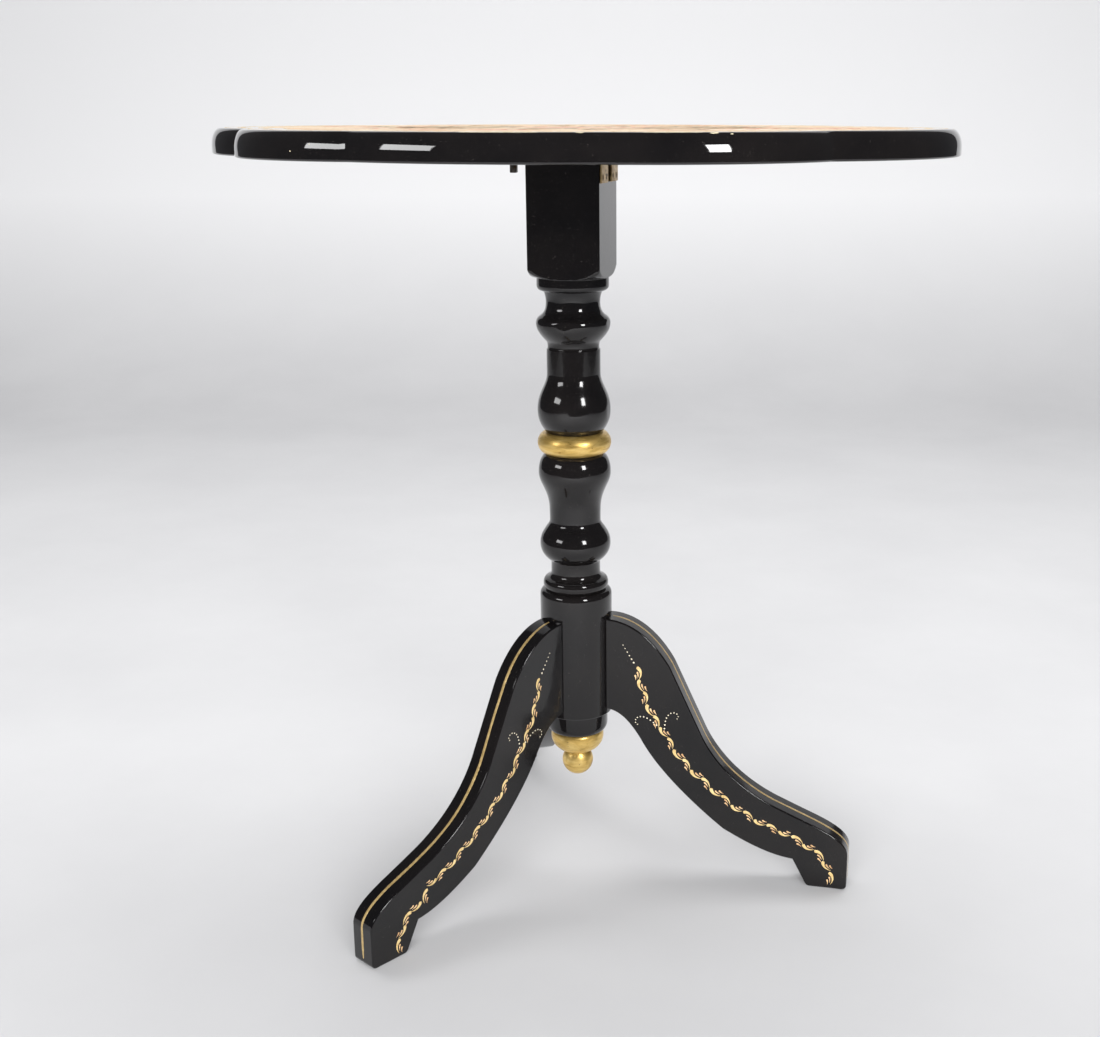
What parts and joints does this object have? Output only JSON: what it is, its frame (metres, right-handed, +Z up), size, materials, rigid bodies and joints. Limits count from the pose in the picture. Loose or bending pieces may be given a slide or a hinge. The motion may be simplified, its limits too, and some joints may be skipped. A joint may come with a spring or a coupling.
{
  "type": "tilt top table",
  "caption": "Occasional table with a scalloped painted top that tilts upright on a turned, gilt-banded tripod pedestal and locks level with a bolt catch.",
  "frame": {"origin": "on the floor under the middle of the table top, 5 mm from the column's axis", "axes": "+Z up; +X towards the hinged side and the single leg that points that way; +Y along the hinge axis"},
  "size_m": [0.7008, 0.5872, 0.75],
  "materials": {
    "black_lacquer": "gloss black lacquer over hardwood",
    "painted_top": "hand-painted decoration under gloss varnish, black rim",
    "gilt": "gold leaf over turned wood",
    "brass": "aged brass sheet",
    "dark_steel": "dark oxidised steel",
    "screw_brass": "slotted brass wood screws"
  },
  "bodies": {
    "pedestal": {"pedestal_upper": "black_lacquer", "gilt_ring": "gilt", "pedestal_lower": "black_lacquer", "pedestal_foot_cap": "black_lacquer", "drop_finial": "gilt", "leg_right": "black_lacquer", "leg_left": "black_lacquer", "leg_back": "black_lacquer", "strike_plate": "brass", "strike_screw_1": "screw_brass", "strike_screw_2": "screw_brass", "hinge_front_block_leaf": "brass", "hinge_front_block_screw_1": "screw_brass", "hinge_front_block_screw_2": "screw_brass", "hinge_front_pin": "brass", "hinge_back_block_leaf": "brass", "hinge_back_block_screw_1": "screw_brass", "hinge_back_block_screw_2": "screw_brass", "hinge_back_pin": "brass"},
    "top": {"table_top": "painted_top", "catch_housing": "brass", "catch_screw_1": "screw_brass", "catch_screw_2": "screw_brass", "catch_screw_3": "screw_brass", "catch_screw_4": "screw_brass", "hinge_front_top_leaf": "brass", "hinge_front_top_screw_1": "screw_brass", "hinge_front_top_screw_2": "screw_brass", "hinge_back_top_leaf": "brass", "hinge_back_top_screw_1": "screw_brass", "hinge_back_top_screw_2": "screw_brass"},
    "catch_bolt_body": {"catch_bolt": "dark_steel"}
  },
  "joints": [
    {"name": "top_tilt", "type": "hinge", "parent": "pedestal", "child": "top", "pos_m": [0.0385, 0, 0.723], "axis": [0, 1, 0], "range_deg": [0, 90]},
    {"name": "bolt_slide", "type": "slide", "parent": "top", "child": "catch_bolt_body", "axis": [1, 0, 0], "range_m": [0, 0.008]}
  ]
}
